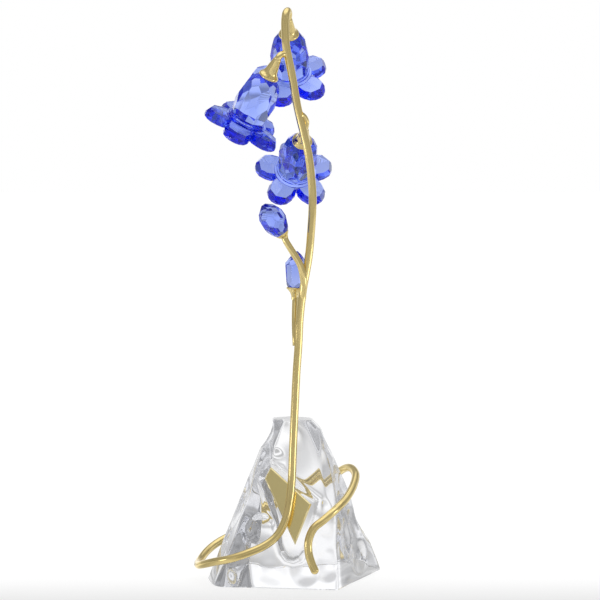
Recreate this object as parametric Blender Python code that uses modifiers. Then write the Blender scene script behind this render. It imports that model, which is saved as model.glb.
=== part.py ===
"""Standing ornament: a campanula spray of cut blue crystal on a bent metal rod, wound round a clear rock.

Frame: +Z up, origin in the middle of the rock's flat underside, the viewer's side at -Y.
Sizes below are millimetres and are turned into metres where a shape is made.
"""

import math

import bmesh
import bpy
from mathutils import Matrix, Vector

MM = 0.001
GLUE_GAP = 0.3

# Rock: corners of the block that the chisel left, each ring from the left front corner round to the left
ROCK_FOOT = ((-38, -20), (17, -30), (37, 33.5), (-27, 38), (-41.5, 5))
ROCK_TOP = ((-12.6, -4.8), (5, -8), (5.5, 6), (-5, 11), (-12.6, 7))
ROCK_HEIGHT = 75
ROCK_SHOULDERS = (
    (-20, -8.5, 56), (-19.5, 8, 56), (15.3, -18.6, 42), (9.7, -10, 70.5), (9.7, 7.5, 70.5),
    (14.4, 12, 60), (-12, 20, 54),
)
# Shallow hollows struck out of the rock: spot, compass and rise of the blow, half width, depth, stretch
ROCK_SCOOPS = (
    ((-17.2, 0, 68), 180, 0, 7.2, 4.0, (1, 2.6, 1)),
    ((-26, -6, 40), 188, 18, 13, 2.0, (1, 1, 1.3)),
    ((-20, -15.6, 29), 262, 15, 9.5, 1.5, (1, 1, 1.1)),
    ((10.8, -16.8, 45), 264, 15, 7.5, 1.2, (1, 1, 2.0)),
    ((-4, -9.6, 62), 258, 15, 7.5, 1.0, (1.6, 1, 1)),
    ((25.5, 4, 21), 342, 17, 11, 1.7, (1, 1.5, 1.2)),
    ((18.4, 4, 47), 345, 17, 10, 1.6, (1, 1.3, 1.4)),
    ((10, 28.2, 22), 92, 19, 12, 2.0, (1.3, 1, 1)),
    ((-12, 28.5, 24), 96, 19, 11, 1.7, (1, 1, 1.3)),
    ((4, 19.5, 48), 88, 20, 10.5, 1.9, (1, 1, 1.2)),
    ((-31, 15, 20), 157, 22, 10, 1.8, (1, 1.3, 1)),
    ((-22, 13, 44), 152, 20, 9.5, 1.8, (1, 1, 1.2)),
)

# Front face of the rock: a point on it, its outward slope left and up
FACE_POINT = (-5, -16.2, 37)
FACE_NORMAL = (-0.1731, -0.9522, 0.2515)

# Plate on the front face, as (across, up) from FACE_POINT
PLATE_OUTLINE = ((-9.3, 17.3), (-11.8, 11.8), (3.6, -18.1), (10.3, 0.6))
PLATE_THICKNESS = 2.2
PLATE_BEVEL = 0.45
POCKET_OUTLINE = (
    (-10.8, 20.2), (-14.6, 12.4), (-3.4, -11), (-2.2, -23.6), (8.8, -23.6), (10.2, -9), (12.6, 2.4),
)
POCKET_DEPTH = 1.8
POCKET_COVE = 2.0

# Rod: hand-laid route from the hook behind the top flower, down the front, once round the rock
ROD_RADIUS = 1.85
ROD_STEP = 3.2
HOOK_END_RADIUS = 1.45
HOOK_TAPER = 9
TIP_RADIUS = 0.45
ROD_ROUTE = (
    (-5.2, 0.7, 259.4), (-5.1, -0.5, 261.0), (-5.6, -2.8, 262.1), (-6.4, -5.2, 260.6),
    (-6.8, -6.4, 256.5), (-6.6, -6.9, 250), (-6.1, -7.1, 244.6), (-3.6, -7.8, 232.3),
    (-1.2, -8.4, 218.4), (1.8, -9, 205.7), (4.1, -9.5, 195), (5.5, -10, 182), (5.7, -10.4, 173),
    (5, -10.9, 161), (3.9, -11.4, 149.5), (1.4, -12, 135), (-0.1, -12.4, 122), (-0.7, -12.8, 110),
    (-1.6, -13.6, 97), (-2.2, -14.5, 85), (-2.8, -15.6, 72), (-3.3, -16.5, 60), (-3.7, -17.4, 49.5),
    (-4.6, -19.1, 40), (-6.6, -21.6, 31), (-10.4, -23.4, 24), (-16.3, -24.4, 19.4),
    (-24.5, -24.2, 15.8), (-32.3, -22, 13), (-39.2, -17, 11), (-44.6, -10.2, 8.8), (-47, -2, 7.4),
    (-46.6, 7, 8), (-43.5, 17, 11), (-38.5, 25, 14), (-31, 31.5, 17), (-21, 36, 20.5),
    (-9, 37.2, 25.5), (3, 34.6, 32), (12.5, 30, 40.5), (18.6, 24.5, 47.5), (23.2, 16.5, 50.3),
    (25.8, 6.5, 48.5), (24.6, -4, 44.3), (21, -14.6, 39.6), (16.5, -22.4, 36), (10.9, -26.3, 31.6),
    (6.2, -27.7, 27.8), (3.9, -28.4, 22.4), (3.9, -29, 17), (5.3, -30, 12.2), (7.4, -31, 7.6),
)

# Side stems brazed to the rod: route and radii at both ends
SIDE_STEMS = {
    "upper_bud": (((0.9, -12.4, 131), (1.7, -13.3, 137), (1.3, -13.9, 141.6), (0, -14, 146.6),
                   (-2.8, -13.7, 151.9), (-5.9, -13, 157.1)), 1.3, 1.55),
    "lower_bud": (((-0.7, -12.5, 108), (-1.3, -10.9, 116), (-2.0, -8.0, 123), (-2.3, -6.1, 128.5),
                   (-2.3, -5.5, 131)), 1.1, 1.2),
    "flower_left": (((-6.2, -7.1, 245), (-6.9, -8.2, 244.2), (-7.9, -8.9, 243.3), (-9.1, -8.95, 242.3),
                     (-10.06, -8.72, 241.54)), 1.1, 1.3),
    "flower_middle": (((0.4, -8.7, 214.5), (1.9, -8, 213.6), (2.9, -7.3, 211.6), (2.75, -6.6, 209.7),
                       (2.55, -5.7, 208.8), (2.4, -4.85, 208.3)), 1.1, 1.3),
}

# Flowers: middle of the calyx rim, lean from straight down, compass of the lean (0 = +X), turn of a lobe
FLOWERS = {
    "left": {"rim": (-14.4, -6.1, 232), "lean": 28, "heading": 149, "turn": 45},
    "top": {"rim": (-5.1, 7.9, 251.9), "lean": 46, "heading": 88, "turn": 17},
    "middle": {"rim": (1.0, 4.0, 202.7), "lean": 57, "heading": 99, "turn": 0},
}

# Calyx cap: (radius, height over the rim), outside from the neck to the lip, then the hollow underneath
CALYX_OUTSIDE = (
    (0, 10.2), (1.35, 10.2), (1.8, 9.1), (2.45, 6.8), (2.95, 4.2), (3.55, 2.1), (4.4, 1.0),
    (4.75, 0.5), (4.75, 0.05), (4.45, -0.2),
)
CALYX_INSIDE = ((4.25, 0), (2.4, 2.2), (0, 2.2))

# Bell: cuts as (slope from the axis, radius on the slope, height of that point, cuts round it, offset)
BELL_TABLE = 1.8
BELL_FOOT = -22.8
BELL_CUTS = (
    (47, 3.65, 0.0, 8, 0.5), (20, 7.75, -4.6, 8, 0.0), (0, 8.3, -12, 8, 0.5), (-10, 8.5, -17, 8, 0.0),
)

# Lobed foot of a flower: collar profile as (radius, height under the rim), then one lobe as (out, across)
COLLAR_PROFILE = (
    (0, -23.1), (7.0, -23.1), (8.2, -23.7), (7.9, -24.3), (8.9, -24.9), (8.6, -25.5), (9.6, -26.3),
    (9.2, -27.2), (9.0, -29.4), (8.0, -30.0), (5.2, -30.0), (3.6, -28.6), (0, -28.6),
)
LOBES = 5
LOBE_OUTLINE = ((5.5, 4.2), (9.2, 5.2), (12.4, 6.4), (15.6, 5.9), (17.9, 3.6), (18.8, 1.2))
LOBE_TOP, LOBE_FOOT = -26.2, -30.4
LOBE_CHAMFER = 1.0
# Facets ground on a lobe's back: outward and sideways slope, and how far out they start
LOBE_CUTS = ((0.04, 0.12, 10), (0.04, -0.12, 10), (0.34, 0.0, 17.0))

# Buds: crystal profile as (radius, height), sides, place and lean of the axis, and the cup under it
UPPER_BUD = {
    "foot": (-7.9, -12.6, 159.1), "lean": 29, "heading": 186, "sides": 8,
    "crystal": ((0, 0), (2.3, 0), (4.7, 2.8), (5.7, 6.6), (5.6, 10.2), (4.2, 13.6), (2.2, 15.7), (0, 15.7)),
    "cup": ((0, -3.2), (1.6, -3.2), (2.4, -1.6), (3.3, -0.1), (3.45, 0.5), (3.1, 0.6), (2.75, -0.3),
            (0, -0.3)),
}
LOWER_BUD = {
    "foot": (-2.3, -5.5, 135.6), "lean": 2, "heading": 0, "sides": 6,
    "crystal": ((0, 0), (2.9, 0), (4.3, 4.6), (4.75, 8.4), (3.9, 12.2), (1.5, 16.4), (0, 17.0)),
    "cup": ((0, -5.6), (1.2, -5.6), (1.6, -4.4), (2.8, -1.6), (3.6, -0.1), (3.75, 0.4), (3.45, 0.5),
            (3.2, -0.3), (0, -0.3)),
}

GOLD = (0.62, 0.51, 0.24)
BLUE = (0.10, 0.18, 0.85)
CLEAR = (0.90, 0.92, 0.95)


def clear_scene():
    for item in list(bpy.data.objects):
        bpy.data.objects.remove(item, do_unlink=True)


def new_collection(name, hidden=False):
    group = bpy.data.collections.new(name)
    bpy.context.scene.collection.children.link(group)
    group.hide_render = hidden
    return group


def new_material(name, colour, roughness, metallic, transmission):
    finish = bpy.data.materials.new(name)
    finish.use_nodes = True
    shader = finish.node_tree.nodes["Principled BSDF"]
    shader.inputs["Base Color"].default_value = (*colour, 1)
    shader.inputs["Roughness"].default_value = roughness
    shader.inputs["Metallic"].default_value = metallic
    shader.inputs["Transmission Weight"].default_value = transmission
    finish.diffuse_color = (*colour, 1)
    return finish


def metal(name):
    return new_material(name, GOLD, 0.25, 1.0, 0.0)


def crystal(name, colour):
    return new_material(name, colour, 0.02, 0.0, 1.0)


def add_object(name, mesh, group, finish=None, place=None):
    made = bpy.data.objects.new(name, mesh)
    group.objects.link(made)
    if finish:
        mesh.materials.clear()
        mesh.materials.append(finish)
    if place is not None:
        made.matrix_world = place
    return made


def mesh_of(bm, name):
    mesh = bpy.data.meshes.new(name)
    bm.to_mesh(mesh)
    bm.free()
    return mesh


def baked(source, group, name):
    """The object with its modifiers, as a plain mesh with its caps joined; the source is removed."""
    bpy.context.view_layer.update()
    graph = bpy.context.evaluated_depsgraph_get()
    mesh = bpy.data.meshes.new_from_object(source.evaluated_get(graph))
    bm = bmesh.new()
    bm.from_mesh(mesh)
    bmesh.ops.remove_doubles(bm, verts=bm.verts, dist=0.00001)
    bmesh.ops.recalc_face_normals(bm, faces=bm.faces)
    bm.to_mesh(mesh)
    bm.free()
    place = source.matrix_world.copy()
    bpy.data.objects.remove(source, do_unlink=True)
    return add_object(name, mesh, group, place=place)


def joined(body, others, group, name):
    """One solid of the body and the objects in the collection others, whose objects are then removed."""
    join = body.modifiers.new("join", "BOOLEAN")
    join.operation = "UNION"
    join.operand_type = "COLLECTION"
    join.collection = others
    join.solver = "EXACT"
    whole = baked(body, group, name)
    for item in list(others.objects):
        bpy.data.objects.remove(item, do_unlink=True)
    bpy.data.collections.remove(others)
    return whole


def smooth_route(points, step):
    """Points about a step apart on the smooth curve through the given ones."""
    known = [Vector(p) for p in points]
    ends = [2 * known[0] - known[1]] + known + [2 * known[-1] - known[-2]]
    route = []
    for before, start, end, after in zip(ends, ends[1:], ends[2:], ends[3:]):
        pieces = max(1, round((end - start).length / step))
        for i in range(pieces):
            t = i / pieces
            bend = (2 * before - 5 * start + 4 * end - after) * t * t
            turn = (3 * start - before - 3 * end + after) * t ** 3
            route.append((2 * start + (end - before) * t + bend + turn) / 2)
    return route + [known[-1]]


def tube(name, route, radii, group, sides_level=3):
    """A round bar along the route, with a radius for each of its points."""
    curve = bpy.data.curves.new(name, "CURVE")
    curve.dimensions = "3D"
    curve.bevel_depth = MM
    curve.bevel_resolution = sides_level
    curve.use_fill_caps = True
    spline = curve.splines.new("POLY")
    spline.points.add(len(route) - 1)
    for point, spot, radius in zip(spline.points, route, radii):
        point.co = (*(spot * MM), 1)
        point.radius = radius
    bar = bpy.data.objects.new(name, curve)
    group.objects.link(bar)
    return baked(bar, group, name)


def turned(name, profile, steps, place, group):
    """A profile of (radius, height), turned about its own upright axis."""
    bm = bmesh.new()
    corners = [bm.verts.new((radius * MM, 0, height * MM)) for radius, height in profile]
    for a, b in zip(corners, corners[1:]):
        bm.edges.new((a, b))
    body = add_object(name, mesh_of(bm, name), group, place=place)
    spin = body.modifiers.new("turn", "SCREW")
    spin.steps = steps
    spin.render_steps = steps
    spin.use_merge_vertices = True
    spin.merge_threshold = 0.00001
    spin.use_normal_calculate = True
    return baked(body, group, name)


def flat_cut(bm, point, normal):
    """Grinds away everything past the plane and closes the cut."""
    every = bm.verts[:] + bm.edges[:] + bm.faces[:]
    cut = bmesh.ops.bisect_plane(
        bm, geom=every, dist=0.0000001, plane_co=point, plane_no=normal, clear_outer=True)
    rim = [item for item in cut["geom_cut"] if isinstance(item, bmesh.types.BMEdge)]
    if rim:
        bmesh.ops.holes_fill(bm, edges=rim, sides=0)


def leaning(foot, lean, heading, turn=0, down=False):
    """Places an upright shape at foot, leant to the heading; a hanging one leans its lower end there."""
    tilt = -lean if down else lean
    return (Matrix.Translation(Vector(foot) * MM) @ Matrix.Rotation(math.radians(heading), 4, "Z")
            @ Matrix.Rotation(math.radians(tilt), 4, "Y") @ Matrix.Rotation(math.radians(turn), 4, "Z"))


def face_frame():
    """Across, up and out on the rock's front face, as the frame of what lies on it."""
    out = Vector(FACE_NORMAL).normalized()
    across = Vector((0, 0, 1)).cross(out).normalized()
    up = out.cross(across)
    frame = Matrix((across, up, out)).transposed().to_4x4()
    frame.translation = Vector(FACE_POINT) * MM
    return frame


def slab(name, outline, half_thickness, edge, level, group, place, inset=True):
    """A flat piece of the outline with its edges taken off; level 0 gives a straight chamfer."""
    curve = bpy.data.curves.new(name, "CURVE")
    curve.dimensions = "2D"
    curve.fill_mode = "BOTH"
    curve.extrude = (half_thickness - edge) * MM
    curve.bevel_depth = edge * MM
    curve.bevel_resolution = level
    curve.offset = -edge * MM if inset else 0
    spline = curve.splines.new("POLY")
    spline.points.add(len(outline) - 1)
    for point, (across, up) in zip(spline.points, outline):
        point.co = (across * MM, up * MM, 0, 1)
    spline.use_cyclic_u = True
    piece = bpy.data.objects.new(name, curve)
    group.objects.link(piece)
    piece.matrix_world = place
    return baked(piece, group, name)


def make_rock(group, cutters):
    bm = bmesh.new()
    corners = [(x, y, 0) for x, y in ROCK_FOOT] + [(x, y, ROCK_HEIGHT) for x, y in ROCK_TOP]
    for corner in corners + list(ROCK_SHOULDERS):
        bm.verts.new(Vector(corner) * MM)
    hull = bmesh.ops.convex_hull(bm, input=bm.verts)
    bmesh.ops.delete(bm, geom=list(set(hull["geom_interior"]) & set(bm.verts)), context="VERTS")
    rock = add_object("crystal_rock", mesh_of(bm, "crystal_rock"), group, crystal("clear_crystal", CLEAR))
    tools = [scoop_cutter(f"scoop_{i}", scoop, cutters) for i, scoop in enumerate(ROCK_SCOOPS, 1)]
    tools.append(pocket_cutter(cutters))
    for tool in tools:
        cut = rock.modifiers.new(tool.name, "BOOLEAN")
        cut.operation = "DIFFERENCE"
        cut.object = tool
        cut.solver = "EXACT"
    return rock


def scoop_cutter(name, scoop, cutters):
    """A ball that leaves a hollow of the given half width and depth at the spot."""
    spot, compass, rise, half_width, depth, stretch = scoop
    radius = (half_width ** 2 + depth ** 2) / (2 * depth)
    flat = math.cos(math.radians(rise))
    turn = math.radians(compass)
    out = Vector((math.cos(turn) * flat, math.sin(turn) * flat, math.sin(math.radians(rise))))
    bm = bmesh.new()
    bmesh.ops.create_icosphere(bm, subdivisions=4, radius=radius * MM)
    place = Matrix.Translation((Vector(spot) + out * (radius - depth)) * MM) @ Matrix.Diagonal((*stretch, 1))
    ball = add_object(name, mesh_of(bm, name), cutters, place=place)
    ball.hide_render = True
    ball.display_type = "WIRE"
    return ball


def rounded(outline, share, steps=4):
    """The closed outline with each corner replaced by a curve that starts the given share along its sides."""
    points = []
    count = len(outline)
    for i, corner in enumerate(outline):
        here = Vector(corner)
        before = here.lerp(Vector(outline[i - 1]), share)
        after = here.lerp(Vector(outline[(i + 1) % count]), share)
        for k in range(steps + 1):
            t = k / steps
            points.append(tuple(before.lerp(here, t).lerp(here.lerp(after, t), t)))
    return points


def pocket_cutter(cutters):
    """Hollow for the plate: flat floor, coved wall, round lower end."""
    reach = 6
    place = face_frame() @ Matrix.Translation((0, 0, (reach - POCKET_DEPTH) * MM))
    tool = slab("pocket", rounded(POCKET_OUTLINE, 0.36), reach, POCKET_COVE, 3, cutters, place, inset=False)
    tool.hide_render = True
    tool.display_type = "WIRE"
    return tool


def make_plate(group):
    middle = GLUE_GAP - POCKET_DEPTH + PLATE_THICKNESS / 2
    place = face_frame() @ Matrix.Translation((0, 0, middle * MM))
    plate = slab("metal_plate", PLATE_OUTLINE, PLATE_THICKNESS / 2, PLATE_BEVEL, 0, group, place)
    plate.data.materials.append(metal("plate_gold"))
    return plate


def rod_radii(route):
    """Full thickness all along, drawn down at the hook's end and rounded off at the free end."""
    run = [0.0]
    for a, b in zip(route, route[1:]):
        run.append(run[-1] + (b - a).length)
    radii = []
    for at in run:
        hook = HOOK_END_RADIUS + (ROD_RADIUS - HOOK_END_RADIUS) * min(1, at / HOOK_TAPER)
        left = run[-1] - at
        into = max(ROD_RADIUS - left, 0)
        tip = max(math.sqrt(ROD_RADIUS ** 2 - into ** 2), TIP_RADIUS)
        radii.append(min(hook, tip))
    return radii


def rounded_end(route):
    """Closer points over the last rod radius, so that the free end can be round."""
    last, back = route[-1], (route[-2] - route[-1]).normalized()
    kept = [p for p in route[:-1] if (p - last).length > ROD_RADIUS * 1.2]
    return kept + [last + back * ROD_RADIUS * share for share in (1.0, 0.5, 0.2, 0.0)]


def make_stem(group):
    branches = new_collection("stem_branches")
    for name, (points, start, end) in SIDE_STEMS.items():
        route = smooth_route(points, 2.0)
        radii = [start + (end - start) * i / (len(route) - 1) for i in range(len(route))]
        tube(f"side_{name}", route, radii, branches, sides_level=3)
    for bud in (UPPER_BUD, LOWER_BUD):
        place = leaning(bud["foot"], bud["lean"], bud["heading"])
        turned("bud_cup", bud["cup"], 20, place, branches)
    route = rounded_end(smooth_route(ROD_ROUTE, ROD_STEP))
    rod = tube("rod", route, rod_radii(route), group)
    stem = joined(rod, branches, group, "stem")
    stem.data.materials.append(metal("stem_gold"))
    stem.data.shade_smooth()
    stem.data.set_sharp_from_angle(angle=math.radians(40))


def make_bell(name, place, group):
    """A block ground by rings of flat cuts, so that the long side facets end in points."""
    bm = bmesh.new()
    middle = (BELL_TABLE + BELL_FOOT) / 2 * MM
    bmesh.ops.create_cone(bm, cap_ends=True, segments=24, radius1=14 * MM, radius2=14 * MM,
                          depth=(BELL_TABLE - BELL_FOOT) * MM, matrix=Matrix.Translation((0, 0, middle)))
    for slope, radius, height, count, offset in BELL_CUTS:
        for i in range(count):
            around = math.tau * (i + offset) / count
            out = Vector((math.cos(around), math.sin(around), 0))
            rise = math.radians(slope)
            normal = out * math.cos(rise) + Vector((0, 0, math.sin(rise)))
            flat_cut(bm, (out * radius + Vector((0, 0, height))) * MM, normal)
    bmesh.ops.recalc_face_normals(bm, faces=bm.faces)
    add_object(name, mesh_of(bm, name), group, crystal(f"{name}_blue", BLUE), place)


def ground_lobe(group):
    """One lobe along +X as a mesh: a chamfered slab with flat cuts on its back."""
    outline = list(LOBE_OUTLINE) + [(out, -across) for out, across in reversed(LOBE_OUTLINE)]
    half = (LOBE_TOP - LOBE_FOOT) / 2
    lift = Matrix.Translation((0, 0, (LOBE_TOP - half) * MM))
    blank = slab("lobe_blank", outline, half, LOBE_CHAMFER, 0, group, lift)
    bm = bmesh.new()
    bm.from_mesh(blank.data)
    bm.transform(lift)
    bpy.data.objects.remove(blank, do_unlink=True)
    for outward, sideways, start in LOBE_CUTS:
        flat_cut(bm, Vector((start, 0, LOBE_TOP)) * MM, Vector((outward, sideways, 1)).normalized())
    bmesh.ops.recalc_face_normals(bm, faces=bm.faces)
    return mesh_of(bm, "lobe")


def make_lobes(name, place, group):
    """The collar with its five thick lobes, cut from one piece."""
    lobes = new_collection(f"{name}_lobes")
    blank = ground_lobe(group)
    for i in range(LOBES):
        turn = Matrix.Rotation(math.tau * i / LOBES, 4, "Z")
        add_object(f"lobe_{i}", blank, lobes, place=place @ turn)
    collar = turned("collar", COLLAR_PROFILE, 20, place, group)
    whole = joined(collar, lobes, group, name)
    whole.data.materials.append(crystal(f"{name}_blue", BLUE))


def make_calyx(name, place, group):
    cap = turned(name, CALYX_OUTSIDE + CALYX_INSIDE, 24, place, group)
    cap.data.materials.append(metal(f"{name}_gold"))
    cap.data.shade_smooth()
    cap.data.set_sharp_from_angle(angle=math.radians(40))


def make_bud(name, bud, group):
    place = leaning(bud["foot"], bud["lean"], bud["heading"])
    gem = turned(name, list(reversed(bud["crystal"])), bud["sides"], place, group)
    gem.data.materials.append(crystal(f"{name}_blue", BLUE))


def main():
    clear_scene()
    parts = new_collection("campanula_ornament")
    cutters = new_collection("cutters", hidden=True)
    make_rock(parts, cutters)
    make_plate(parts)
    make_stem(parts)
    for name, flower in FLOWERS.items():
        place = leaning(flower["rim"], flower["lean"], flower["heading"], flower["turn"], down=True)
        make_calyx(f"calyx_{name}", place, parts)
        make_bell(f"bell_{name}", place, parts)
        make_lobes(f"lobes_{name}", place, parts)
    make_bud("bud_upper", UPPER_BUD, parts)
    make_bud("bud_lower", LOWER_BUD, parts)


main()
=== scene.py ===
import itertools
import math

import bmesh
import bpy
import numpy as np
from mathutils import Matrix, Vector


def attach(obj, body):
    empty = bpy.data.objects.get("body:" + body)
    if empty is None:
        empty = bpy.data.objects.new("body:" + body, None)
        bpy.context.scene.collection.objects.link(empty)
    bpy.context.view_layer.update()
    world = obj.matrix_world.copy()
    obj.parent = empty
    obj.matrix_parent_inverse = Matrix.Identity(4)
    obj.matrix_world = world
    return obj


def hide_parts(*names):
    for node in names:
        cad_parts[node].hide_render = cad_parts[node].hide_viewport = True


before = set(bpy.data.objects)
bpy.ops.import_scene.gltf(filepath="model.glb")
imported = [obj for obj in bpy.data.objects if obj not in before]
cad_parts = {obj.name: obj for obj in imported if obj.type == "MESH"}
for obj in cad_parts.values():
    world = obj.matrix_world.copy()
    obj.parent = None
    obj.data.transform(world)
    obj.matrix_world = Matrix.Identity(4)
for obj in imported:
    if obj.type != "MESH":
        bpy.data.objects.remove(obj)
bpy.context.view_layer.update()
mm = 0.001
print("frame loaded")


# Materials

# metals: two shades that the plating drifts between, least and most roughness, strength of the drawing marks
goldFinish = {"shade": (0.85, 0.69, 0.31), "worn": (0.80, 0.63, 0.27), "rough": (0.10, 0.17), "drawn": 0.04}
plateFinish = {"shade": (0.98, 0.83, 0.40), "worn": (0.94, 0.78, 0.36), "rough": (0.12, 0.19), "drawn": 0.04}
edgeFinish = {"shade": (0.95, 0.84, 0.50), "worn": (0.88, 0.75, 0.40), "rough": (0.06, 0.12), "drawn": 0.02}
# crystals: refraction, tint and how strongly it is taken up, least and most roughness, swell of the polish,
# and strength of the gloss
blueGlass = {"ior": 1.54, "tint": (0.18, 0.37, 0.97), "density": 240.0, "rough": (0.0, 0.012), "wave": 0.02,
             "shine": 0.2}
bellGlass = {"ior": 1.54, "tint": (0.18, 0.38, 0.967), "density": 80.0, "rough": (0.0, 0.012), "wave": 0.02,
             "shine": 0.2}
budGlass = {"ior": 1.54, "tint": (0.20, 0.38, 0.95), "density": 150.0, "rough": (0.0, 0.012), "wave": 0.02,
            "shine": 0.3}
clearGlass = {"ior": 1.52, "tint": (0.90, 0.905, 0.925), "density": 20.0, "rough": (0.0, 0.01), "wave": 0.01,
              "shine": 0.5}
# noise under the finishes: scale and detail of each kind, and how deep its bumps are in metres
metalNoise = {"patches": (55.0, 3.0), "marks": (900.0, 2.0), "markDepth": 0.00002}
glassNoise = {"handling": (120.0, 3.0), "swell": (90.0, 1.0), "swellDepth": 0.001}
noiseSpan = (0.3, 0.7)      # nearly all the noise lies between these
patchSpan = (0.4, 0.6)      # narrower, so that patches stand out more


def newMaterial(name):
    # a material with its node tree and its shader
    material = bpy.data.materials.new(name)
    material.use_nodes = True
    tree = material.node_tree
    shader = tree.nodes["Principled BSDF"]
    return material, tree, shader


def addNoise(tree, scale, detail, stretch=(1, 1, 1), coordinate="Object"):
    # soft noise on the piece's own coordinates, squeezed along each axis by the stretch
    place = tree.nodes.new("ShaderNodeTexCoord")
    squeeze = tree.nodes.new("ShaderNodeMapping")
    squeeze.inputs["Scale"].default_value = stretch
    noise = tree.nodes.new("ShaderNodeTexNoise")
    noise.inputs["Scale"].default_value = scale
    noise.inputs["Detail"].default_value = detail
    tree.links.new(place.outputs[coordinate], squeeze.inputs["Vector"])
    tree.links.new(squeeze.outputs["Vector"], noise.inputs["Vector"])
    return noise


def spreadNoise(tree, noise, low, high, span=noiseSpan):
    # the noise stretched in a straight line, from the span's ends to low and high
    spread = tree.nodes.new("ShaderNodeMapRange")
    spread.inputs["From Min"].default_value, spread.inputs["From Max"].default_value = span
    spread.inputs["To Min"].default_value = low
    spread.inputs["To Max"].default_value = high
    tree.links.new(noise.outputs["Fac"], spread.inputs["Value"])
    return spread.outputs["Result"]


def addBump(tree, shader, source, strength, distance):
    # the noise taken as a height, which tips the surface's normal
    bump = tree.nodes.new("ShaderNodeBump")
    bump.inputs["Strength"].default_value = strength
    bump.inputs["Distance"].default_value = distance
    tree.links.new(source.outputs["Fac"], bump.inputs["Height"])
    tree.links.new(bump.outputs["Normal"], shader.inputs["Normal"])


def metalMaterial(name, finish, stretch=(1, 1, 1)):
    # pale gold plating: slow changes of shade and gloss, and fine marks from drawing and polishing
    material, tree, shader = newMaterial(name)
    shader.inputs["Metallic"].default_value = 1.0
    patches = addNoise(tree, *metalNoise["patches"])
    mix = tree.nodes.new("ShaderNodeMix")
    mix.data_type = "RGBA"
    mix.inputs["A"].default_value = (*finish["shade"], 1)
    mix.inputs["B"].default_value = (*finish["worn"], 1)
    tree.links.new(spreadNoise(tree, patches, 0.0, 1.0), mix.inputs["Factor"])
    tree.links.new(mix.outputs["Result"], shader.inputs["Base Color"])
    marks = addNoise(tree, *metalNoise["marks"], stretch)
    tree.links.new(spreadNoise(tree, marks, *finish["rough"]), shader.inputs["Roughness"])
    addBump(tree, shader, marks, finish["drawn"], metalNoise["markDepth"])
    return material


def glassMaterial(name, finish):
    # polished crystal that takes up light along the way through it
    material, tree, shader = newMaterial(name)
    shader.inputs["Base Color"].default_value = (1, 1, 1, 1)
    shader.inputs["Transmission Weight"].default_value = 1.0
    shader.inputs["IOR"].default_value = finish["ior"]
    shader.inputs["Specular IOR Level"].default_value = finish["shine"]
    handling = addNoise(tree, *glassNoise["handling"])
    tree.links.new(spreadNoise(tree, handling, *finish["rough"]), shader.inputs["Roughness"])
    swell = addNoise(tree, *glassNoise["swell"])
    addBump(tree, shader, swell, finish["wave"], glassNoise["swellDepth"])
    absorb = tree.nodes.new("ShaderNodeVolumeAbsorption")
    absorb.inputs["Color"].default_value = (*finish["tint"], 1)
    absorb.inputs["Density"].default_value = finish["density"]
    output = tree.nodes["Material Output"]
    tree.links.new(absorb.outputs["Volume"], output.inputs["Volume"])
    return material


goldMetal = metalMaterial("goldMetal", goldFinish)
plateFace = metalMaterial("plateFace", plateFinish, (1, 1, 6))      # marks six times finer upwards
plateEdge = metalMaterial("plateEdge", edgeFinish)
blueCrystal = glassMaterial("blueCrystal", blueGlass)
bellCrystal = glassMaterial("bellCrystal", bellGlass)
budCrystal = glassMaterial("budCrystal", budGlass)
clearCrystal = glassMaterial("clearCrystal", clearGlass)
print("materials made")


# Making pieces

mergeDistance = 0.01        # corners nearer than this are one, in millimetres
# rounding of edges: rings of faces, the least angle between faces, and its width on crystal and on the plate
softEdge = {"segments": 2, "angle": 12, "crystal": 0.10, "plate": 0.12}
# three cuts meet above the first determinant; a corner may lie so far outside a cut, and so far off its facet
meetLimit, insideLimit, facetLimit = 1e-5, 1e-5, 4e-3


def addPiece(name, points, faces, material, node, slot, smooth=True):
    # points in millimetres in the row frame, faces as lists of corner numbers
    mesh = bpy.data.meshes.new(name)
    mesh.from_pydata((np.asarray(points) * mm).tolist(), [], [list(map(int, face)) for face in faces])
    mesh.update()
    mesh.materials.append(material)
    mesh.shade_smooth() if smooth else mesh.shade_flat()
    piece = bpy.data.objects.new(name, mesh)
    bpy.context.scene.collection.objects.link(piece)
    if node:
        dress(piece, node)
    return piece


def dress(piece, node):
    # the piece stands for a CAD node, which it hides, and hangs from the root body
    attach(piece, "root")
    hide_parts(node)


def gridFaces(rows, columns, closedRound=True):
    # quads between neighbouring rows, with the last column joined to the first
    around = columns if closedRound else columns - 1
    row, column = np.meshgrid(np.arange(rows - 1), np.arange(around), indexing="ij")
    here = row * columns + column
    side = row * columns + (column + 1) % columns
    return np.stack([here, side, side + columns, here + columns], axis=-1).reshape(-1, 4)


def capFans(rows, columns, startPole, endPole):
    # triangles from each pole to the nearest row of a closed grid
    column = np.arange(columns)
    following = (column + 1) % columns
    last = (rows - 1) * columns
    start = np.stack([np.full(columns, startPole), following, column], axis=-1)
    end = np.stack([np.full(columns, endPole), last + column, last + following], axis=-1)
    return start.tolist() + end.tolist()


def smoothRoute(points, step):
    # Catmull-Rom curve: each span is a cubic in t through its two ends, with slopes from its neighbours
    known = np.asarray(points, float)
    known = np.vstack([2 * known[0] - known[1], known, 2 * known[-1] - known[-2]])
    route = []
    for before, start, end, after in zip(known, known[1:], known[2:], known[3:]):
        pieces = max(2, round(np.linalg.norm(end - start) / step))
        t = (np.arange(pieces) / pieces)[:, None]
        bend = (2 * before - 5 * start + 4 * end - after) * t ** 2
        turn = (3 * start - before - 3 * end + after) * t ** 3
        route.append((2 * start + (end - before) * t + bend + turn) / 2)
    return np.vstack(route + [known[-2:-1]])


def runAlong(route):
    # length of the route up to each of its points
    return np.concatenate([[0], np.cumsum(np.linalg.norm(np.diff(route, axis=0), axis=1))])


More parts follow.
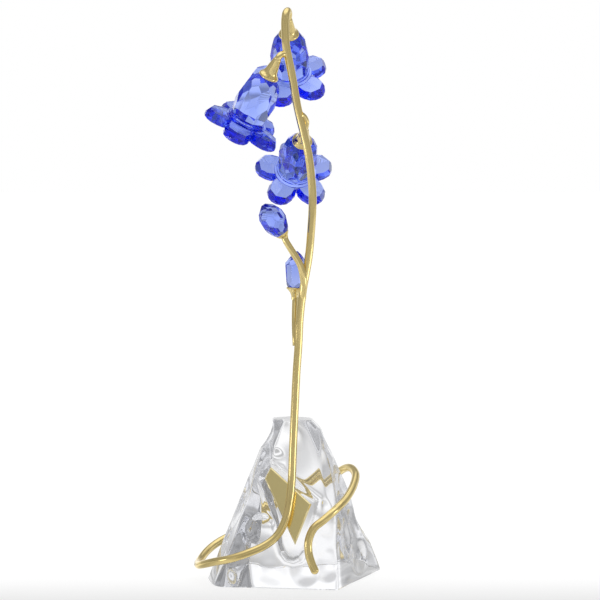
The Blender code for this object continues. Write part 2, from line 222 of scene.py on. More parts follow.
def sweep(route, radii, sides):
    # a circle of the given radius at each station, carried along the route square to it without twisting
    along = np.gradient(route, axis=0)
    along /= np.linalg.norm(along, axis=1)[:, None]
    across = np.empty_like(route)
    across[0] = np.cross(along[0], (0.3, 0.2, 1.0))
    for i in range(1, len(route)):
        across[i] = across[i - 1] - along[i] * (across[i - 1] @ along[i])
    across /= np.linalg.norm(across, axis=1)[:, None]
    beside = np.cross(along, across)
    angle = np.linspace(0, math.tau, sides, endpoint=False)[None, :, None]
    ring = across[:, None] * np.cos(angle) + beside[:, None] * np.sin(angle)
    grid = route[:, None] + ring * np.asarray(radii)[:, None, None]
    points = np.vstack([grid.reshape(-1, 3), route[:1], route[-1:]])
    count = len(route) * sides
    faces = gridFaces(len(route), sides).tolist() + capFans(len(route), sides, count, count + 1)
    return points, faces


def lathe(profile, sides):
    # a profile of (radius, height) turned about its own upright axis, closed at both ends on the axis
    profile = np.asarray(profile, float)
    angle = np.linspace(0, math.tau, sides, endpoint=False)[None, :]
    radius = profile[:, :1] * np.ones_like(angle)
    height = profile[:, 1:] * np.ones_like(angle)
    inner = np.stack([radius * np.cos(angle), radius * np.sin(angle), height], axis=-1)[1:-1]
    rows = len(profile) - 2
    points = np.vstack([inner.reshape(-1, 3), [[0, 0, profile[0, 1]]], [[0, 0, profile[-1, 1]]]])
    faces = gridFaces(rows, sides).tolist() + capFans(rows, sides, rows * sides, rows * sides + 1)
    return points, faces


def leaning(foot, lean, heading, turn=0, down=False):
    # turn about the own axis, lean over, then face the heading; a hanging piece leans its lower end there
    tilt = math.radians(-lean if down else lean)
    a, b = math.radians(heading), math.radians(turn)
    around = np.array([[math.cos(a), -math.sin(a), 0], [math.sin(a), math.cos(a), 0], [0, 0, 1]])
    over = np.array([[math.cos(tilt), 0, math.sin(tilt)], [0, 1, 0], [-math.sin(tilt), 0, math.cos(tilt)]])
    own = np.array([[math.cos(b), -math.sin(b), 0], [math.sin(b), math.cos(b), 0], [0, 0, 1]])
    matrix = around @ over @ own
    foot = np.asarray(foot, float)
    return lambda points: points @ matrix.T + foot


def cutGem(normals, reach):
    # corners are where three cuts meet inside all the others, and a facet is the corners on its cut, taken in
    # order round it
    normals, reach = np.asarray(normals, float), np.asarray(reach, float)
    trios = np.array(list(itertools.combinations(range(len(reach)), 3)))
    sides, heights = normals[trios], reach[trios]
    meeting = np.abs(np.linalg.det(sides)) > meetLimit
    corners = np.linalg.solve(sides[meeting], heights[meeting][..., None])[..., 0]
    corners = corners[(corners @ normals.T <= reach + insideLimit).all(axis=1)]
    corners = np.unique(np.round(corners, 3), axis=0)
    facets = []
    for normal, height in zip(normals, reach):
        on = np.flatnonzero(np.abs(corners @ normal - height) < facetLimit)
        if len(on) < 3:
            continue
        spokes = corners[on] - corners[on].mean(axis=0)
        beside = np.cross(normal, spokes[0])
        facets.append(on[np.argsort(np.arctan2(spokes @ beside, spokes @ spokes[0]))])
    return corners, facets


def ringCuts(rings, top, bottom):
    # cuts in rings about the upright axis, each as (slope from the axis, radius, height, how many, turn)
    normals, reach = [(0, 0, 1), (0, 0, -1)], [top, -bottom]
    for slope, radius, height, count, offset in rings:
        for i in range(count):
            around, rise = math.tau * (i + offset) / count, math.radians(slope)
            out = np.array([math.cos(around), math.sin(around), 0])
            normal = out * math.cos(rise) + np.array([0, 0, math.sin(rise)])
            normals.append(normal)
            reach.append(normal @ (out * radius + np.array([0, 0, height])))
    return np.array(normals), np.array(reach)


def softEdges(piece, width):
    # edges ground round, but for those between faces that are nearly in line
    bevel = piece.modifiers.new("softEdges", "BEVEL")
    bevel.width = width * mm
    bevel.segments = softEdge["segments"]
    bevel.limit_method = "ANGLE"
    bevel.angle_limit = math.radians(softEdge["angle"])
    bevel.use_clamp_overlap = True


def unite(name, parts, material, sharpAngle):
    # one closed skin round all the parts, with doubled corners merged and faces turned outwards
    body = parts[0]
    group = bpy.data.collections.new(f"{name}Parts")
    bpy.context.scene.collection.children.link(group)
    for part in parts[1:]:
        bpy.context.scene.collection.objects.unlink(part)
        group.objects.link(part)
    join = body.modifiers.new("join", "BOOLEAN")
    join.operation = "UNION"
    join.operand_type = "COLLECTION"
    join.collection = group
    join.solver = "EXACT"
    bpy.context.view_layer.update()
    graph = bpy.context.evaluated_depsgraph_get()
    mesh = bpy.data.meshes.new_from_object(body.evaluated_get(graph))
    skin = bmesh.new()
    skin.from_mesh(mesh)
    bmesh.ops.remove_doubles(skin, verts=skin.verts, dist=mergeDistance * mm)
    bmesh.ops.dissolve_degenerate(skin, edges=skin.edges, dist=mergeDistance * mm)
    bmesh.ops.recalc_face_normals(skin, faces=skin.faces)
    skin.to_mesh(mesh)
    skin.free()
    mesh.name = name
    mesh.materials.clear()
    mesh.materials.append(material)
    mesh.shade_smooth()
    mesh.set_sharp_from_angle(angle=math.radians(sharpAngle))
    for part in parts:
        bpy.data.objects.remove(part, do_unlink=True)
    bpy.data.collections.remove(group)
    piece = bpy.data.objects.new(name, mesh)
    bpy.context.scene.collection.objects.link(piece)
    return piece


# Clear rock

rock = {
    "foot": ((-39, -20.5), (17, -30), (39.5, 33.5), (-27, 38), (-43.5, 4)),
    "top": ((-12.6, -4.8), (5, -8), (5.5, 6), (-5, 11), (-12.6, 7)),
    "shoulders": ((-20, -8.5, 56), (-19.5, 8, 56), (15.3, -18.6, 42), (9.7, -10, 70.5), (9.7, 7.5, 70.5),
                  (14.4, 12, 60), (-12, 20, 54)),
    "height": 75.0,
    "axis": (-3.0, 1.5),
    "edge": 75,             # the larger, the sharper the edges between facets
    "rimEdge": 1.2,         # how much sharper the rims of the hollows are
    "sharp": 38,            # faces that meet at a larger angle than this keep a hard edge
    "flat": 0.98,           # hull faces that point up or down more than this are the top and the foot
    # facets struck off the edges: compass, rise, a point each passes through
    "chips": ((303, 18, (10.6, -13.4, 57)), (222, 20, (-28.2, -13.9, 28)), (40, 30, (15.5, 14.5, 50)),
              (140, 16, (-21, 16, 42))),
    "columns": 440,
    "rows": 168,
    "capRows": 12,
    "capCrowd": 0.9,        # below 1, the rows over the top and the foot crowd outwards
    "chamfer": 0.45,
    "lidChamfer": 0.7,      # share of the chamfer that the top gets
    # swells of the surface: height, then for each its length, bend and the bend's two lengths, and their fade
    "wave": 0.05,
    "swells": ((3.6, 1.4, 7.1, 9.0), (3.1, 1.7, 8.3, 6.2)),
    "swellFade": 3,
    # hollows struck out: spot, half width across, half width up, depth, roll of the blow in degrees
    "scoops": (
        ((-17.2, 0, 68), 13.0, 8.0, 3.6, 0),
        ((-17.4, -17, 26), 7.4, 7.6, 3.0, 0),
        ((-26, -6, 40), 12.0, 15.0, 2.0, 10),
        ((-29, -22, 12), 10.0, 15.0, 1.7, 12),
        ((-14, -25, 7), 9.0, 6.5, 1.1, -8),
        ((3, -27, 9), 8.0, 8.5, 1.7, 15),
        ((12.5, -26, 11), 7.5, 8.5, 1.7, -10),
        ((12.5, -21.5, 31), 7.0, 10.0, 1.9, 10),
        ((11.5, -15.5, 50), 9.0, 13.0, 0.9, -25),
        ((-13, -10.5, 56), 6.5, 7.0, 1.3, -30),
        ((25, 18, 27), 12.0, 15.0, 2.4, 0),
        ((29, 4, 12), 12.0, 9.0, 1.6, 10),
        ((25.5, 4, 24), 13.0, 9.5, 1.8, -15),
        ((18.4, 4, 47), 11.0, 12.5, 1.8, 12),
        ((22, -10, 22), 6.0, 9.0, 1.1, -18),
        ((13, 0, 63), 8.0, 7.0, 1.1, 0),
    ),
}
# the hollow that holds the plate, drawn in its own plane as (across, up)
pocket = {
    "point": (-5, -16.2, 37), "normal": (-0.1731, -0.9522, 0.2515), "depth": 1.8,
    "lip": 0.6, "cove": 2.2,        # the wall starts this far outside the outline and is this wide
    "facing": 0.2,                  # places turned further away than this are left alone
    "passes": 5,
    "outline": (
        (-10.2, 19.6), (-13.6, 12.2), (-9.8, 4.1), (-6.4, -5.3), (-4.4, -13), (-3.6, -18), (-2.2, -21.6),
        (0.2, -24.2), (3, -25), (5.8, -23.9), (7.7, -21.2), (8.9, -17.5), (10, -12.4), (12.6, -4.4),
        (13, 2.4),
    ),
    # a rounded ridge runs round the hollow: how high, how far outside, how wide
    "ridge": (0.5, 1.5, 1.1),
    "ridgeFade": (3, 0.6),          # fade of the ridge as the place turns away: slope and offset
}
farOff = 1e3        # a distance past every face
slant = 1e-3        # a face that turns towards a ray by less than this doesn't stop it


def hullCuts():
    # outward normal and distance from the origin of each face of the block's hull, but for top and foot, and
    # of each facet struck off it
    block = bmesh.new()
    corners = [(*c, 0) for c in rock["foot"]] + [(*c, rock["height"]) for c in rock["top"]]
    for corner in corners + list(rock["shoulders"]):
        block.verts.new(corner)
    bmesh.ops.convex_hull(block, input=block.verts)
    block.normal_update()
    cuts = [(*face.normal, face.normal.dot(face.verts[0].co)) for face in block.faces if face.is_valid]
    block.free()
    cuts = np.unique(np.round(cuts, 4), axis=0)
    cuts = cuts[np.abs(cuts[:, 2]) < rock["flat"]].tolist()
    for compass, rise, point in rock["chips"]:
        around, climb = math.radians(compass), math.radians(rise)
        normal = (math.cos(around) * math.cos(climb), math.sin(around) * math.cos(climb), math.sin(climb))
        cuts.append((*normal, float(np.dot(normal, point))))
    return np.array(cuts)


def softLeast(radii, sharpness):
    # smooth minimum: the inverse of the power mean of the inverses
    least = np.min(radii, axis=0)
    return least * np.sum((least / radii) ** sharpness, axis=0) ** (-1 / sharpness)


def faceAxes():
    # the plate's plane: level across it, up it, and out of it
    out = np.array(pocket["normal"]) / np.linalg.norm(pocket["normal"])
    across = np.cross((0, 0, 1), out)
    across /= np.linalg.norm(across)
    return across, np.cross(out, across), out


def insideOutline(a, u):
    # distance to the nearest side of the outline, positive inside it
    outline = np.array(pocket["outline"])
    nearest = np.full(a.shape, np.inf)
    odd = np.zeros(a.shape, bool)
    for (ax, ay), (bx, by) in zip(outline, np.roll(outline, -1, axis=0)):
        t = np.clip(((a - ax) * (bx - ax) + (u - ay) * (by - ay)) / ((bx - ax) ** 2 + (by - ay) ** 2), 0, 1)
        nearest = np.minimum(nearest, np.hypot(a - ax - t * (bx - ax), u - ay - t * (by - ay)))
        crosses = (ay > u) != (by > u)
        with np.errstate(divide="ignore", invalid="ignore"):
            odd ^= crosses & (a < (bx - ax) * (u - ay) / (by - ay) + ax)
    return np.where(odd, nearest, -nearest)


def rockRadius(angle, height):
    # distance of the skin from the upright axis: the least over all hull cuts and struck hollows, softened
    ex, ey = np.cos(angle), np.sin(angle)
    cx, cy = rock["axis"]
    distances = []
    for nx, ny, nz, reach in hullCuts():
        toward = nx * ex + ny * ey
        room = reach - nx * cx - ny * cy - nz * height
        distances.append(np.where(toward > slant, room / np.maximum(toward, slant), farOff))
    radius = softLeast(np.array(distances), rock["edge"])
    for scoop in rock["scoops"]:
        hit = scoopHit(*scoop, ex, ey, height)
        hollow = np.where(np.isfinite(hit), hit, farOff)
        radius = softLeast(np.array([radius, hollow]), rock["edge"] * rock["rimEdge"])
    return sinkPocket(radius, ex, ey, height)


def sinkPocket(radius, ex, ey, height):
    # the floor lies at an even depth under the plate's plane, and a soft step joins it to the skin
    cx, cy = rock["axis"]
    across, up, out = faceAxes()
    point = np.array(pocket["point"])
    facing = out[0] * ex + out[1] * ey

    def insidePocket(at):
        # how far inside the outline the skin is where it stands this far from the axis
        dx, dy, dz = cx + at * ex - point[0], cy + at * ey - point[1], height - point[2]
        a = dx * across[0] + dy * across[1] + dz * across[2]
        return insideOutline(a, dx * up[0] + dy * up[1] + dz * up[2])

    high, beyond, wide = pocket["ridge"]
    steep, start = pocket["ridgeFade"]
    ridge = high * np.exp(-((insidePocket(radius) + beyond) / wide) ** 2)
    radius = radius + ridge * np.clip(facing * steep - start, 0, 1)
    # the wall stands where the sunk skin meets the outline, so each pass places it from the depth so far
    sunk, least = radius, pocket["facing"]
    for _ in range(pocket["passes"]):
        into = np.clip((insidePocket(sunk) + pocket["lip"]) / pocket["cove"], 0, 1)
        floor = -pocket["depth"] * into * into * (3 - 2 * into)
        room = floor - (out[0] * (cx - point[0]) + out[1] * (cy - point[1]) + out[2] * (height - point[2]))
        reached = (facing > least) & (into > 0)
        sunk = np.minimum(radius, np.where(reached, room / np.maximum(facing, least), farOff))
    return sunk


def hullSpot(spot):
    # the point of the hull in the spot's direction from the axis at its height, and the hull's normal there
    cx, cy = rock["axis"]
    angle = math.atan2(spot[1] - cy, spot[0] - cx)
    best, normal = farOff, None
    for nx, ny, nz, reach in hullCuts():
        toward = nx * math.cos(angle) + ny * math.sin(angle)
        if toward > slant:
            distance = (reach - nx * cx - ny * cy - nz * spot[2]) / toward
            if distance < best:
                best, normal = distance, np.array([nx, ny, nz])
    return np.array([cx + best * math.cos(angle), cy + best * math.sin(angle), spot[2]]), normal


def scoopHit(spot, wide, tall, depth, roll, ex, ey, height):
    # where a level ray from the axis enters the ellipsoid that leaves the hollow: first root of a quadratic
    where, out = hullSpot(spot)
    out = out / np.linalg.norm(out)
    across = np.cross((0, 0, 1), out)
    across /= np.linalg.norm(across)
    up = np.cross(out, across)
    turn = math.radians(roll)
    across, up = across * math.cos(turn) + up * math.sin(turn), up * math.cos(turn) - across * math.sin(turn)
    mean = (wide + tall) / 2
    thick = (mean ** 2 + depth ** 2) / (2 * depth)
    share = math.sqrt(1 - (1 - depth / thick) ** 2)
    centre = where + out * (thick - depth)
    a = b = c = 0
    for axis, size in ((across, wide / share), (up, tall / share), (out, thick)):
        step = (axis[0] * ex + axis[1] * ey) / size
        start = (axis[0] * (rock["axis"][0] - centre[0]) + axis[1] * (rock["axis"][1] - centre[1])
                 + axis[2] * (height - centre[2])) / size
        a, b, c = a + step ** 2, b + step * start, c + start ** 2
    inside = b * b - a * (c - 1)
    first = (-b - np.sqrt(np.maximum(inside, 0))) / a
    return np.where((inside > 0) & (first > 0), first, np.inf)


def makeRock():
    # rows of equal height up the side, then rows drawn in flat over the top and the foot
    columns, rows, caps = rock["columns"], rock["rows"], rock["capRows"]
    angle = np.linspace(0, math.tau, columns, endpoint=False)[None, :]
    height = rock["height"] * np.linspace(0, 1, rows)[:, None]
    angle, height = np.broadcast_arrays(angle, height)
    radius = rockRadius(angle, height)
    radius = radius + rock["wave"] * ripples(angle, height, radius)
    low = np.clip(rock["chamfer"] - height, 0, None)
    high = np.clip(height - rock["height"] + rock["chamfer"], 0, None)
    radius = radius - low - high * rock["lidChamfer"]
    share = np.linspace(1, 0, caps + 1, endpoint=False)[1:, None] ** rock["capCrowd"]
    foot = (radius[:1] * share[::-1], np.zeros((caps, columns)))
    lid = (radius[-1:] * share, np.full((caps, columns), rock["height"]))
    radius = np.vstack([foot[0], radius, lid[0]])
    height = np.vstack([foot[1], height, lid[1]])
    angle = np.broadcast_to(angle[:1], radius.shape)
    cx, cy = rock["axis"]
    grid = np.stack([cx + radius * np.cos(angle), cy + radius * np.sin(angle), height], axis=-1)
    count = grid.shape[0] * columns
    points = np.vstack([grid.reshape(-1, 3), [[cx, cy, 0]], [[cx, cy, rock["height"]]]])
    faces = gridFaces(grid.shape[0], columns).tolist() + capFans(grid.shape[0], columns, count, count + 1)
    piece = addPiece("rockCrystal", points, faces, clearCrystal, "crystal_rock", "clear_crystal")
    piece.data.set_sharp_from_angle(angle=math.radians(rock["sharp"]))


def ripples(angle, height, radius):
    # slow swells of the struck surface: a sine across and a sine upwards, each bent by a longer sine
    x, y = radius * np.cos(angle), radius * np.sin(angle)
    (length, bend, upLength, deepLength), (rise, riseBend, sideLength, backLength) = rock["swells"]
    across = np.sin(x / length + bend * np.sin(height / upLength + y / deepLength))
    upward = np.sin(height / rise + riseBend * np.sin(x / sideLength - y / backLength))
    margin = rock["swellFade"]
    fade = np.clip(height / margin, 0, 1) * np.clip((rock["height"] - height) / margin, 0, 1)
    return (across + upward) * fade


makeRock()
print("rock made")


# Plate

plate = {
    "outline": ((-9.3, 17.3), (-11.8, 11.8), (3.6, -18.1), (10.3, 0.6)),
    "gap": 0.3,             # for the glue under it
    "thick": 2.2,
    "bevel": 0.55,
    "backBevel": 0.6,       # share of the bevel's height at the back
}


def insetOutline(outline, distance):
    # each side moved inwards by the distance, and the corners where the moved sides meet
    corners = np.asarray(outline, float)
    before, after = corners - np.roll(corners, 1, axis=0), np.roll(corners, -1, axis=0) - corners
    before /= np.linalg.norm(before, axis=1)[:, None]
    after /= np.linalg.norm(after, axis=1)[:, None]
    left = np.stack([-before[:, 1], before[:, 0]], axis=1)
    right = np.stack([-after[:, 1], after[:, 0]], axis=1)
    return corners + (left + right) * distance / (1 + np.sum(left * right, axis=1))[:, None]


def makePlate():
    # the outline at four heights, drawn in at the back and at the front
    across, up, out = faceAxes()
    base = plate["gap"] - pocket["depth"]
    outline, bevel = plate["outline"], plate["bevel"]
    inner = insetOutline(outline, bevel)
    steps = ((inner, 0), (outline, bevel * plate["backBevel"]), (outline, plate["thick"] - bevel),
             (inner, plate["thick"]))
    rings = [np.column_stack([ring, np.full(len(ring), base + lift)]) for ring, lift in steps]
    points = np.vstack(rings) @ np.array([across, up, out]) + np.array(pocket["point"])
    count = len(outline)
    back, front = list(range(count))[::-1], list(range(3 * count, 4 * count))
    faces = gridFaces(len(rings), count).tolist() + [back, front]
    piece = addPiece("plateMetal", points, faces, plateEdge, "metal_plate", "plate_metal", smooth=False)
    piece.data.materials.append(plateFace)
    piece.data.polygons[len(faces) - 1].material_index = 1
    softEdges(piece, softEdge["plate"])


makePlate()
print("plate made")


# Stem

stem = {
    "radius": 1.85, "hookRadius": 1.45, "hookTaper": 9.0, "step": 0.7, "sides": 40,
    "sharp": 42,
    # half ball at the free end: where it starts, in radii, its rings, the gap at its pole, and the least
    # square of its share of a radius
    "tipStart": 1.1, "tipRings": 9, "tipGap": 0.004, "tipLeast": 0.002,
    "startRun": 0.6, "startLeast": 0.15,        # the same rounding, shorter, at the end inside the cap
    # middle line of the rod: from the top flower's cap over the hook, down, and once round the rock
    "route": (
        (-5.3, 1.3, 258.3), (-5.2, 0.7, 259.4), (-5.1, -0.5, 261.0), (-5.6, -2.8, 262.1),
        (-6.4, -5.2, 260.6), (-6.8, -6.4, 256.5), (-6.6, -6.9, 250), (-6.1, -7.1, 244.6),
        (-3.6, -7.8, 232.3), (-1.2, -8.4, 218.4), (1.8, -9, 205.7), (4.1, -9.5, 195), (5.5, -10, 182),
        (5.7, -10.4, 173), (5, -10.9, 161), (3.9, -11.4, 149.5), (1.4, -12, 135), (-0.1, -12.4, 122),
        (-0.7, -12.8, 110), (-1.6, -13.6, 97), (-2.2, -14.5, 85), (-2.8, -15.6, 72), (-3.3, -16.5, 60),
        (-3.7, -17.4, 49.5), (-4.6, -19.1, 40), (-6.6, -21.6, 31), (-10.4, -23.4, 24), (-16.3, -24.4, 19.4),
        (-24.5, -24.2, 15.8), (-32.3, -22, 13), (-39.2, -17, 11), (-44.6, -10.2, 8.8), (-47, -2, 7.4),
        (-46.6, 7, 8), (-43.5, 17, 11), (-38.5, 25, 14), (-31, 31.5, 17), (-21, 36, 20.5), (-9, 37.2, 25.5),
        (3, 34.6, 32), (12.5, 30, 40.5), (18.6, 24.5, 47.5), (23.2, 16.5, 50.3), (25.8, 6.5, 48.5),
        (24.6, -4, 44.3), (21, -14.6, 39.6), (16.5, -22.4, 36), (10.9, -26.3, 31.6), (6.2, -27.7, 27.8),
        (3.9, -28.4, 22.4), (3.9, -29, 17), (5.3, -30, 12.2), (7.4, -31, 7.6),
    ),
    # brazed side stems: route, radius at both ends, how much the braze widens the root
    "branches": {
        "upperBud": ((
            (0.9, -12.4, 131), (1.7, -13.3, 137), (1.3, -13.9, 141.6), (0, -14, 146.6),
            (-3.1, -13.7, 151.9), (-6.1, -12.9, 156.7), (-7.0, -12.5, 158.9),
        ), 1.7, 1.5, 0.3),
        "lowerBud": ((
            (-2.1, -12.2, 109.5), (-2.4, -11.6, 115), (-2.5, -9.6, 121), (-2.4, -7.2, 126.5),
            (-2.3, -5.9, 129.5), (-2.3, -5.5, 131.4),
        ), 1.25, 1.35, 0.1),
        "leftFlower": ((
            (-6.2, -7.2, 242.3), (-7.2, -7.7, 242.2), (-8.4, -8.6, 242.0), (-9.3, -9.5, 241.3),
            (-10.0, -9.9, 240.3), (-10.5, -9.6, 239.2),
        ), 1.35, 1.5, 0.5),
        "middleFlower": ((
            (0.4, -8.7, 214.5), (1.9, -8, 213.6), (2.9, -7.3, 211.6), (2.75, -6.6, 209.7),
            (2.55, -5.7, 208.8), (2.4, -4.85, 208.3), (2.1, -3.2, 207.3),
        ), 1.2, 1.4, 0.5),
    },
    "branchSides": 28, "branchStep": 0.5,
    "brazeRun": 1.6,                            # how far the braze reaches along a side stem
    "cupSides": 48, "cupStep": 0.3,
}
# rings of cuts as (slope from the axis, radius, height, how many, turn), and the metal cup's profile
buds = {
    "upper": {
        "foot": (-7.8, -12.6, 160.3), "lean": 34, "heading": 190, "turn": 30, "top": 16.2,
        "rings": ((-42, 3.2, 0.9, 9, 0), (-21, 4.85, 3.8, 9, 0.5), (1, 5.55, 7.7, 9, 0),
                  (26, 4.9, 11.7, 9, 0.5), (50, 2.9, 14.6, 9, 0)),
        "cup": ((0, -2.2), (1.5, -2.2), (1.85, -1.4), (2.6, -0.6), (3.25, 0.3), (3.05, 0.4), (2.65, -0.3),
                (0, -0.3)),
    },
    "lower": {
        "foot": (-2.3, -5.5, 135.6), "lean": 3.5, "heading": 0, "turn": 0, "top": 18.3,
        "rings": ((-30, 3.3, 0.6, 8, 0.5), (-7, 4.6, 6.5, 8, 0), (34, 4.65, 11.4, 8, 0.5),
                  (50, 2.6, 14.9, 8, 0)),
        "cup": ((0, -5.4), (1.35, -5.4), (1.5, -3.9), (2.15, -2.3), (3.3, -1.0), (3.95, -0.5), (3.95, -0.1),
                (3.6, 0.25), (3.1, -0.3), (0, -0.3)),
    },
}


def roundedProfile(points, step=0.25):
    # the profile with its inner points on a smooth curve, its ends kept on the axis
    points = np.asarray(points, float)
    curve = smoothRoute(np.column_stack([points[1:-1], np.zeros(len(points) - 2)]), step)[:, :2]
    return np.vstack([points[:1], curve, points[-1:]])


def rodStations():
    # full thickness all along, drawn down at the hook and closed by half a ball at the free end
    route = smoothRoute(stem["route"], stem["step"])
    run = runAlong(route)
    kept = run < run[-1] - stem["radius"] * stem["tipStart"]
    last, back = route[-1], route[-2] - route[-1]
    back = back / np.linalg.norm(back)
    share = np.cos(np.linspace(0, math.pi / 2, stem["tipRings"]))[:, None]
    tip = last + back * stem["radius"] * share
    route = np.vstack([route[kept], tip[:-1], last + back * stem["tipGap"]])
    run = runAlong(route)
    left = np.clip((run[-1] - run) / stem["radius"], 0, 1)
    ball = np.sqrt(np.maximum(1 - (1 - left) ** 2, stem["tipLeast"]))
    slim = 1 - stem["hookRadius"] / stem["radius"]
    hook = 1 - slim * np.clip(1 - run / stem["hookTaper"], 0, 1)
    begun = np.clip(run / stem["startRun"], 0, 1)
    start = np.sqrt(np.clip(1 - (1 - begun) ** 2, stem["startLeast"], 1))
    return route, stem["radius"] * ball * hook * start


def makeStem():
    # the rod, its side stems and both cups made one
    route, radii = rodStations()
    parts = [addPiece("rod", *sweep(route, radii, stem["sides"]), goldMetal, None, None)]
    for name, (points, start, end, braze) in stem["branches"].items():
        route = smoothRoute(points, stem["branchStep"])
        run = runAlong(route)
        radii = start + (end - start) * run / run[-1] + braze * np.exp(-run / stem["brazeRun"])
        parts.append(addPiece(name, *sweep(route, radii, stem["branchSides"]), goldMetal, None, None))
    for name, bud in buds.items():
        points, faces = lathe(roundedProfile(bud["cup"], stem["cupStep"])[::-1], stem["cupSides"])
        place = leaning(bud["foot"], bud["lean"], bud["heading"])
        parts.append(addPiece(f"{name}Cup", place(points), faces, goldMetal, None, None))
    piece = unite("stemRod", parts, goldMetal, stem["sharp"])
    dress(piece, "stem")


makeStem()
print("stem made")


# Flowers

# middle of each cap's rim, lean from hanging straight, compass of the lean, turn about its own axis
flowers = {
    "left": {"rim": (-14.4, -6.1, 232), "lean": 35.4, "heading": 138.5, "turn": 52},
    "top": {"rim": (-5.1, 7.9, 251.9), "lean": 46, "heading": 88, "turn": 17},
    "middle": {"rim": (1.0, 4.0, 202.7), "lean": 57, "heading": 99, "turn": 0},
}
# the cap's profile as (radius, height over the rim)
calyx = {
    "outside": ((0, 10.2), (1.0, 10.2), (1.55, 9.95), (1.85, 9.35), (2.02, 8.4), (2.3, 7.0), (2.6, 5.5),
                (2.85, 4.2), (3.15, 3.0), (3.6, 2.1), (4.2, 1.4), (4.58, 0.95), (4.72, 0.45), (4.66, 0.0),
                (4.45, -0.18)),
    "inside": ((4.25, 0.0), (3.4, 1.0), (2.4, 2.2), (1.2, 2.25), (0, 2.25)),
    # stand-in ends for the two curves, which are left out of the profile
    "outsideEnd": (4.3, -0.15), "insideStart": (4.5, -0.15),
    "outsideStep": 0.22, "insideStep": 0.4, "sides": 72, "sharp": 50,
}
bell = {
    "top": 1.8, "foot": -21.4,
    "rings": ((50, 3.8, 0.0, 9, 0.5), (30, 6.5, -3.0, 9, 0.0), (9, 8.15, -9.2, 9, 0.5),
              (-7, 8.6, -16.8, 9, 0.0)),
}
collar = {
    "profile": ((0, -21.7), (6.9, -21.7), (8.0, -22.0), (8.25, -22.35), (7.8, -22.65), (8.7, -22.9),
                (8.95, -23.25), (8.6, -23.5), (9.9, -23.8), (10.1, -24.3), (9.9, -27.4), (9.5, -27.7),
                (5.2, -27.7), (3.6, -26.7), (0, -26.7)),
    "sides": 96,
}
lobe = {
    "count": 5, "foot": -29.2, "lip": 0.35, "sharp": 5,
    "outline": ((4.5, 4.3), (9.9, 6.4), (12.8, 6.3), (15.9, 5.4), (17.9, 3.4), (18.8, 1.2)),
    # the underside is level; the upper face has a ridge and slopes down from this height this far out
    "top": -23.9, "start": 9.5, "slope": 0.02, "ridge": 0.06,
    # edges of the upper face, and how far the wall under each runs out for each millimetre it drops
    "topOutline": ((4.5, 3.9), (9.3, 4.9), (12.4, 5.0), (15.4, 4.0), (17.4, 0.0)),
    "topRun": (0.35, 0.4, 0.45, 0.5),
    # facets ground on the upper face: slope outwards, slope sideways, how far out each starts
    "backCuts": ((0.07, 0.1, 12.8),),
}


def lobeCuts():
    # upright walls round the foot, leaning walls under the upper face, slight facets on the upper face
    normals, reach = [(-1, 0, 0)], [-lobe["outline"][0][0]]

    def cut(normal, point):
        # the cut and its mirror image across the lobe
        for mirror in (1, -1):
            unit = np.array(normal) * (1, mirror, 1) / np.linalg.norm(normal)
            normals.append(unit)
            reach.append(unit @ (np.array(point) * (1, mirror, 1)))

    def topHeight(point):
        # height of the upper face this far out
        return lobe["top"] - lobe["slope"] * (point[0] - lobe["start"])

    outline = lobe["outline"] + ((lobe["outline"][-1][0], 0),)
    cut((0, 0, -1), (0, 0, lobe["foot"]))
    for a, b in zip(outline, outline[1:]):
        side = np.array([a[1] - b[1], b[0] - a[0]]) / math.dist(a, b)
        cut((*side, 0), (*a, 0))
        cut((*side, -1), (*a, lobe["foot"] + lobe["lip"]))
    for a, b, run in zip(lobe["topOutline"], lobe["topOutline"][1:], lobe["topRun"]):
        side = np.array([a[1] - b[1], b[0] - a[0]]) / math.dist(a, b)
        edge = np.array([*b, topHeight(b)]) - np.array([*a, topHeight(a)])
        cut(np.cross(edge, (*side * run, -1)), (*a, topHeight(a)))
    cut((lobe["slope"], lobe["ridge"], 1), (lobe["start"], 0, lobe["top"]))
    cut((0, 0, 1), (0, 0, lobe["top"]))
    for outward, sideways, start in lobe["backCuts"]:
        cut((outward, sideways, 1), (start, 0, topHeight((start, 0))))
    cuts = np.unique(np.round(np.column_stack([normals, reach]), 6), axis=0)
    return cuts[:, :3], cuts[:, 3]


def makeFlower(name, flower):
    # metal cap, crystal bell under it, and a collar with lobes under that
    title = name.capitalize()
    place = leaning(flower["rim"], flower["lean"], flower["heading"], flower["turn"], down=True)
    outside = roundedProfile(calyx["outside"] + (calyx["outsideEnd"],), calyx["outsideStep"])[:-1]
    inside = roundedProfile((calyx["insideStart"],) + calyx["inside"], calyx["insideStep"])[1:]
    points, faces = lathe(np.vstack([outside, inside])[::-1], calyx["sides"])
    piece = addPiece(f"calyx{title}", place(points), faces, goldMetal, f"calyx_{name}", "gold_metal")
    piece.data.set_sharp_from_angle(angle=math.radians(calyx["sharp"]))
    points, facets = cutGem(*ringCuts(bell["rings"], bell["top"], bell["foot"]))
    piece = addPiece(f"bell{title}", place(points), facets, bellCrystal, f"bell_{name}", "blue_crystal",
                     smooth=False)
    softEdges(piece, softEdge["crystal"])
    points, faces = lathe(np.array(collar["profile"])[::-1], collar["sides"])
    parts = [addPiece("collar", place(points), faces, blueCrystal, None, None)]
    points, facets = cutGem(*lobeCuts())
    for i in range(lobe["count"]):
        turned = leaning((0, 0, 0), 0, 0, 360 * i / lobe["count"])(points)
        parts.append(addPiece(f"lobe{i}", place(turned), facets, blueCrystal, None, None, smooth=False))
    piece = unite(f"lobes{title}", parts, blueCrystal, lobe["sharp"])
    dress(piece, f"lobes_{name}")


for flowerName, flowerPlace in flowers.items():
    makeFlower(flowerName, flowerPlace)
print("flowers made")


# Buds

